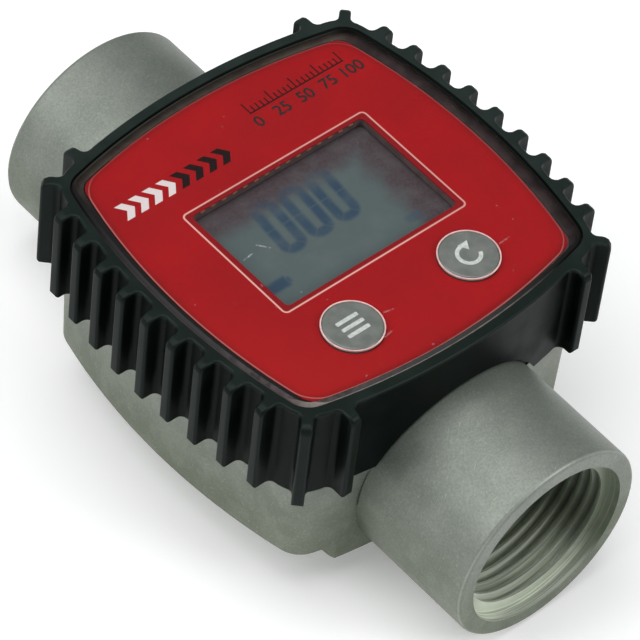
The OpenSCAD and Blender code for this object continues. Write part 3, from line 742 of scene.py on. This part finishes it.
metal = cast_metal()
machined = turned_metal()
plastic = housing_plastic()
film = label_film()
display = display_film()
clear = clear_plastic()
clear_edge = cover_edge()
seal_dark = seal_band()
button_grey = button_plastic()
white_print = plain("white_print", (0.58, 0.62, 0.58), 0.4, size=0.6)
ring_light = plain("ring_light", (0.80, 0.55, 0.52), 0.3, size=1.5)
wet_plastic = plain("wet_plastic", (0.74, 0.74, 0.69), 0.45)
bush_plastic = plain("bush_plastic", (0.16, 0.13, 0.10), 0.4)
steel = plain("steel", (0.45, 0.45, 0.45), 0.32, metallic=0.9, size=0.4)
magnet = plain("magnet", (0.40, 0.40, 0.42), 0.25, metallic=1.0)
rubber = plain("rubber", (0.010, 0.011, 0.011), 0.65)
tray_plastic = plain("tray_plastic", (0.03, 0.032, 0.034), 0.5)
cell_wrap = plain("cell_wrap", (0.04, 0.09, 0.24), 0.3, size=3.0)
contact_metal = plain("contact_metal", (0.55, 0.45, 0.24), 0.3, metallic=0.9)
gold_lead = plain("gold_lead", (0.20, 0.095, 0.045), 0.5, size=0.5)
# Painted reflection: the window's inner walls take a reddish-purple tone instead of the housing's
# near-black.
window_wall_reflection = plain("window_wall_reflection", (0.120, 0.074, 0.076), 0.5, spread=0.4, size=1.5)
board_green = plain("board_green", (0.012, 0.11, 0.04), 0.35, size=2.0)
chip_black = plain("chip_black", (0.012, 0.012, 0.012), 0.45, size=0.5)
strip_pink = plain("strip_pink", (0.42, 0.16, 0.16), 0.6)
frame_white = plain("frame_white", (0.60, 0.60, 0.57), 0.5)
printed_dark = plain("printed_dark", PRINT_BLACK, 0.45, size=0.5)


# Pieces

def beyond(place, half, bow):
    """How far a place, in millimetres, lies outside a shape with four bowed sides."""
    across = math.hypot(abs(place.x) + bow - half[0], place.y) - bow
    along = math.hypot(abs(place.y) + bow - half[1], place.x) - bow
    return max(across, along)


DRAFT = 0.8
WALL_X = 25.8
TRAY_HALF_Y = 38
FOOT_REACH = 30
LOWER_ROUND = 1.1
BORE_R = 17.3
BORE_Y = 12


def casting():
    """The cast body: walls that lean in, rounded lower edges, and turned ends with painted light in
    the bore.
    """
    piece = refined("meter_body", "pipe_casting")
    walls = [v.co / MM for v in piece.data.vertices if abs(v.co.x / MM) > BODY_HALF_X - 1]
    low = min(place.z for place in walls)

    def at_screw(place):
        away = math.hypot(abs(place.x) - SCREW_AT[0], abs(place.y) - SCREW_AT[1])
        return away < SCREW_BOSS_R

    def wall_foot(place):
        return abs(place.z - low) < 0.1 and abs(place.x) > WALL_X and not at_screw(place)

    def lower_rim(a, b):
        return (
            max(a.z, b.z) < CASE_BOTTOM - 1
            and max(abs(a.y), abs(b.y)) < TRAY_HALF_Y
            and min(abs(a.x) + abs(a.y), abs(b.x) + abs(b.y)) > FOOT_REACH
            and not at_screw(a)
            and not at_screw(b)
        )

    pick_verts(piece, wall_foot)
    lean = 1 - DRAFT / BODY_HALF_X
    bpy.ops.transform.resize(value=(lean, 1, 1), center_override=(0, 0, 0))
    leave()
    round_edges(piece, LOWER_ROUND, lower_rim, segments=4)
    piece.data.materials.append(metal)
    piece.data.materials.append(machined)
    for face in piece.data.polygons:
        places = [piece.data.vertices[i].co / MM for i in face.vertices]
        widest = max(math.hypot(place.x, place.z - AXIS_Z) for place in places)
        if widest < BORE_R and abs(places[0].y) > BORE_Y:
            face.material_index = 1
    smooth(piece)
    return finish(piece, metal)


OUTSIDE_BY = 0.9
RIM_ROUND = 0.5
POCKET_ROUND = 0.12
SHORT_EDGE = 0.16


def shell():
    """The housing with a soft outer rim and soft ribs. Its shortest edges are merged first."""
    piece = refined("display_housing", "ribbed_shell")

    def outside(*places):
        return all(beyond(place, COVER_HALF, COVER_BOW) > OUTSIDE_BY for place in places)

    def upper(a, b):
        return max(a.z, b.z) > CASE_TOP - 3 and outside(a, b)

    def lower(a, b):
        return max(a.z, b.z) < CASE_BOTTOM + 1 and outside(a, b)

    def pocket(a, b):
        return min(a.z, b.z) > CASE_TOP - LEVEL

    pick_verts(piece, outside)
    bpy.ops.mesh.remove_doubles(threshold=SHORT_EDGE * MM)
    leave()
    round_edges(piece, RIM_ROUND, upper, segments=3, sharp=40)
    round_edges(piece, RIM_ROUND, lower, segments=2, sharp=40)
    round_edges(piece, POCKET_ROUND, pocket, segments=2, sharp=60)
    piece.data.materials.append(plastic)
    piece.data.materials.append(window_wall_reflection)
    # The window's inner walls get the painted-reflection tone.
    for face in piece.data.polygons:
        place = face.center / MM
        across = abs(place.x - LINE_CENTRE[0]) - LINE_SIZE[0] / 2
        along = abs(place.y - LINE_CENTRE[1]) - LINE_SIZE[1] / 2
        if max(across, along) < -0.5 and LABEL_TOP - 2 < place.z < LABEL_TOP:
            face.material_index = 1
    smooth(piece, 32)
    return finish(piece, plastic)


COVER_BEVEL = 0.8
HOLE_BEVEL = 0.10
COVER_LIFT = 0.05


def cover():
    """The clear cover with a wide bevel round it. Its underside just clears the print."""
    piece = refined("clear_cover", "clear_front")

    def underside(place):
        return abs(place.z - LABEL_TOP) < 0.01

    def near_button(place):
        return min(math.hypot(place.x - x, place.y - y) for x, y in BUTTONS) < HOLE_R + 1

    def outer(a, b):
        return min(a.z, b.z) > COVER_TOP - LEVEL and not near_button(a)

    def hole(a, b):
        return min(a.z, b.z) > COVER_TOP - LEVEL and near_button(a)

    pick_verts(piece, underside)
    bpy.ops.transform.translate(value=(0, 0, COVER_LIFT * MM))
    leave()
    piece.data.materials.append(clear)
    piece.data.materials.append(clear_edge)
    round_edges(piece, COVER_BEVEL, outer, segments=1, sharp=50, material=1)
    round_edges(piece, HOLE_BEVEL, hole, segments=1, sharp=50, material=0)
    for face in piece.data.polygons:
        if abs(face.normal.z) < 0.3 and not near_button(face.center / MM):
            face.material_index = 1
    smooth(piece, 25)
    return finish(piece, clear)


def printed_face():
    piece = refined("face_label", "printed_face")
    smooth(piece)
    return finish(piece, film)


CROWN_ROUND = 0.4


def button(node, name, body):
    """A button with a soft crown."""
    piece = refined(node, name)
    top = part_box(node)[1].z / MM

    def crown(a, b):
        return min(a.z, b.z) > top - LEVEL

    round_edges(piece, CROWN_ROUND, crown, segments=4, sharp=50)
    smooth(piece, 40)
    return finish(piece, button_grey, body)


def upright(size, place):
    """A flat rectangle, as wide and as tall as size says, that faces along Y."""
    bpy.ops.object.select_all(action="DESELECT")
    bpy.ops.mesh.primitive_plane_add(size=1)
    made = bpy.context.active_object
    made.dimensions = (*size, 0)
    made.rotation_euler = (math.radians(90), 0, 0)
    made.location = place
    bpy.ops.object.transform_apply(location=True, rotation=True, scale=True)
    return made


def spun(piece, centre, sweep, steps):
    """Spins a flat rectangle round an upright axis. The sweep is in degrees."""
    edit(piece, "FACE")
    bpy.ops.mesh.select_all(action="SELECT")
    bpy.ops.mesh.spin(
        steps=steps, angle=math.radians(sweep), center=centre, axis=(0, 0, 1), dupli=False
    )
    close_up()


RING_R = (5.43, 5.69)
RING_TALL = 0.3
RING_SUNK = 0.1


def light_ring(node, name):
    """The bright line in the gap round a button, where the cover's cut edge catches the light."""
    at = middle(node)
    inner, outer = RING_R[0] * MM, RING_R[1] * MM
    tall = RING_TALL * MM
    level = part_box(node)[1].z - RING_SUNK * MM - tall / 2
    piece = upright((outer - inner, tall), (at.x + (inner + outer) / 2, at.y, level))
    piece.name = name
    spun(piece, (at.x, at.y, 0), 360, 96)
    smooth(piece, 40)
    return finish(piece, ring_light)


def close_up():
    """Merges the seam of a spun piece and turns its faces outwards."""
    bpy.ops.mesh.select_all(action="SELECT")
    bpy.ops.mesh.remove_doubles(threshold=0.001 * MM)
    bpy.ops.mesh.normals_make_consistent(inside=False)
    leave()


def joined(pieces, name):
    only(pieces[0])
    for piece in pieces:
        piece.select_set(True)
    bpy.ops.object.join()
    made = bpy.context.active_object
    made.name = name
    return made


def block(place, size):
    bpy.ops.object.select_all(action="DESELECT")
    bpy.ops.mesh.primitive_cube_add(size=1, location=place)
    made = bpy.context.active_object
    made.dimensions = size
    bpy.ops.object.transform_apply(location=True, rotation=True, scale=True)
    return made


PRINT_T = 0.06
BAR_SIZE = (4.8, 0.8)
BAR_PITCH = 1.6
BAR_ROUND = 0.22


def bars_symbol():
    """Three short bars on the left button."""
    at = middle("menu_button")
    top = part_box("menu_button")[1].z
    size = (BAR_SIZE[0] * MM, BAR_SIZE[1] * MM, PRINT_T * MM)
    bars = [block((at.x, at.y + row * BAR_PITCH * MM, top), size) for row in (-1, 0, 1)]
    piece = joined(bars, "menu_symbol")

    def corner(a, b):
        return abs(a.z - b.z) > 0.02

    round_edges(piece, BAR_ROUND, corner, segments=3, sharp=50)
    return finish(piece, white_print, "menu_key")


ARROW_R = 2.1
ARROW_WIDE = 0.75
ARROW_START = 60
ARROW_SWEEP = -280
ARROW_HEAD_R = 1.25
ARROW_HEAD_ON = 0.35
ARROW_HEAD_T = 0.08


def turn_symbol():
    """A circular arrow on the right button."""
    at = middle("reset_button")
    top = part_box("reset_button")[1].z
    band = upright((ARROW_WIDE * MM, PRINT_T * MM), (ARROW_R * MM, 0, top))
    spun(band, (0, 0, 0), ARROW_SWEEP, 32)
    bpy.ops.object.select_all(action="DESELECT")
    bpy.ops.mesh.primitive_cylinder_add(
        vertices=3,
        radius=ARROW_HEAD_R * MM,
        depth=ARROW_HEAD_T * MM,
        location=(ARROW_R * MM, ARROW_HEAD_ON * MM, top),
    )
    head = bpy.context.active_object
    bpy.ops.object.transform_apply(location=True, rotation=True, scale=True)
    piece = joined([band, head], "reset_symbol")
    turn = Matrix.Rotation(math.radians(ARROW_START), 4, "Z")
    piece.data.transform(Matrix.Translation((at.x, at.y, 0)) @ turn)
    return finish(piece, white_print, "reset_key")


NUMBERS = (0, 25, 50, 75, 100)
NUMBER_SIZE = 3.5
NUMBER_BOLD = 0.05
NUMBER_T = 0.01
NUMBER_DOWN = 1.5


def scale_numbers():
    """Plain numbers under the tick scale."""
    made = []
    pitch = (SCALE_BAND[1] - SCALE_BAND[0]) / (len(NUMBERS) - 1)
    for k, number in enumerate(NUMBERS):
        bpy.ops.object.select_all(action="DESELECT")
        bpy.ops.object.text_add(location=(0, 0, 0))
        text = bpy.context.active_object
        text.data.body = str(number)
        text.data.size = NUMBER_SIZE * MM
        text.data.offset = NUMBER_BOLD * MM
        text.data.align_x = "CENTER"
        text.data.align_y = "TOP"
        text.data.extrude = NUMBER_T * MM
        x = (SCALE_BAND[0] + k * pitch) * MM
        text.location = (x, (SCALE_Y - NUMBER_DOWN) * MM, label_high.z)
        bpy.ops.object.convert(target="MESH")
        bpy.ops.object.transform_apply(location=True, rotation=True, scale=True)
        made.append(bpy.context.active_object)
    piece = joined(made, "scale_numbers")
    return finish(piece, printed_dark)


LEAD_COUNT = 15
LEAD_PITCH = 2.45
LEAD_SIZE = (1.0, 0.3, 0.35)
LEAD_DOWN = 0.35
LEAD_IN = 1.75
LEAD_ROUND = 0.08


def display_leads():
    """The display's gold lead ends along the window's upper edge."""
    level = label_high.z - LEAD_DOWN * MM
    wall_y = glass_high.y - LEAD_IN * MM
    across = middle("display_glass").x
    size = [length * MM for length in LEAD_SIZE]
    ends = []
    for k in range(LEAD_COUNT):
        x = across + (k - (LEAD_COUNT - 1) / 2) * LEAD_PITCH * MM
        ends.append(block((x, wall_y, level), size))
    piece = joined(ends, "display_leads")
    round_edges(piece, LEAD_ROUND, everywhere)
    return finish(piece, gold_lead)


casting()
shell()
cover()
printed_face()
button("menu_button", "menu_cap", "menu_key")
button("reset_button", "reset_cap", "reset_key")
light_ring("menu_button", "menu_ring")
light_ring("reset_button", "reset_ring")
bars_symbol()
turn_symbol()
scale_numbers()
display_leads()

for node, finish_of in {
    "inlet_flow_guide": wet_plastic,
    "outlet_flow_guide": wet_plastic,
    "inlet_bush": bush_plastic,
    "outlet_bush": bush_plastic,
    "inlet_circlip": steel,
    "outlet_circlip": steel,
    "turbine_rotor": wet_plastic,
    "turbine_shaft": steel,
    "rotor_magnets": magnet,
    "tray_gasket": rubber,
    "battery_tray": tray_plastic,
    "battery_cell_left": cell_wrap,
    "battery_cell_right": cell_wrap,
    "battery_contacts": contact_metal,
    "circuit_board": board_green,
    "controller_chip": chip_black,
    "reed_sensor": steel,
    "display_strips": strip_pink,
    "display_glass": display,
    "display_frame": frame_white,
    "menu_switch": chip_black,
    "reset_switch": chip_black,
    "menu_plunger": frame_white,
    "reset_plunger": frame_white,
    "menu_seal": rubber,
    "reset_seal": rubber,
    "cover_seal": seal_dark,
    "housing_screws": steel,
    "module_screws": steel,
}.items():
    paint(node, finish_of)


# Floor, light and camera

FLOOR_SIZE = 6
FLOOR_DOWN = 0.05
LOOK_AT = Vector((0, 0, 0.03))


def floor():
    """A pale floor just under the foot, so that the two never share a plane."""
    bpy.ops.object.select_all(action="DESELECT")
    bpy.ops.mesh.primitive_plane_add(size=FLOOR_SIZE, location=(0, 0, -FLOOR_DOWN * MM))
    ground = bpy.context.active_object
    ground.name = "floor"
    shade = Shade("floor", Roughness=0.9, Specular_IOR_Level=0.1)
    shade.put("Base Color", shade.mix(shade.noise(60.0), (0.86, 0.86, 0.86), (0.88, 0.88, 0.88)))
    shade.put("Emission Color", (1.0, 1.0, 1.0))
    shade.put("Emission Strength", 0.22)
    ground.data.materials.append(shade.material)


def softbox(name, place, size, power):
    """A square soft light that looks at the meter."""
    lamp = bpy.data.lights.new(name, "AREA")
    lamp.size = size
    lamp.energy = power
    light = bpy.data.objects.new(name, lamp)
    light.location = place
    look = LOOK_AT - light.location
    light.rotation_euler = look.to_track_quat("-Z", "Y").to_euler()
    bpy.context.collection.objects.link(light)


def studio():
    """Soft light from above and from the left. The side that the cover mirrors stays dim."""
    world = bpy.data.worlds.new("studio")
    world.use_nodes = True
    back = world.node_tree.nodes["Background"]
    back.inputs["Color"].default_value = (0.93, 0.97, 1.0, 1)
    back.inputs["Strength"].default_value = 0.22
    bpy.context.scene.world = world
    softbox("overhead", (-0.25, 0.10, 1.50), 1.3, 15)
    softbox("left", (-1.10, 0.55, 0.90), 0.8, 8)
    softbox("front", (0.55, -1.00, 0.85), 0.6, 7)
    bpy.context.scene.view_settings.view_transform = "Standard"


CAMERA_PLACE = Vector((-393.612, -375.301, 653.695)) * MM
CAMERA_RIGHT = Vector((0.75233, -0.653548, 0.082907))
CAMERA_UP = Vector((0.458062, 0.609393, 0.647163))
CAMERA_LENS = 262.628
CAMERA_SENSOR = 36
CAMERA_SHIFT = (-0.00238, 0.00445)


def photo_camera():
    """The camera at the photograph's angle, fitted to the meter's outline and label."""
    lens = bpy.data.cameras.new("camera")
    lens.lens = CAMERA_LENS
    lens.sensor_width = CAMERA_SENSOR
    lens.shift_x, lens.shift_y = CAMERA_SHIFT
    lens.clip_start = 0.05
    lens.clip_end = 20
    camera = bpy.data.objects.new("camera", lens)
    right = CAMERA_RIGHT.normalized()
    back = right.cross(CAMERA_UP).normalized()
    up = back.cross(right)
    turn = Matrix((right, up, back)).transposed()
    camera.matrix_world = Matrix.Translation(CAMERA_PLACE) @ turn.to_4x4()
    bpy.context.collection.objects.link(camera)
    bpy.context.scene.camera = camera


floor()
studio()
photo_camera()
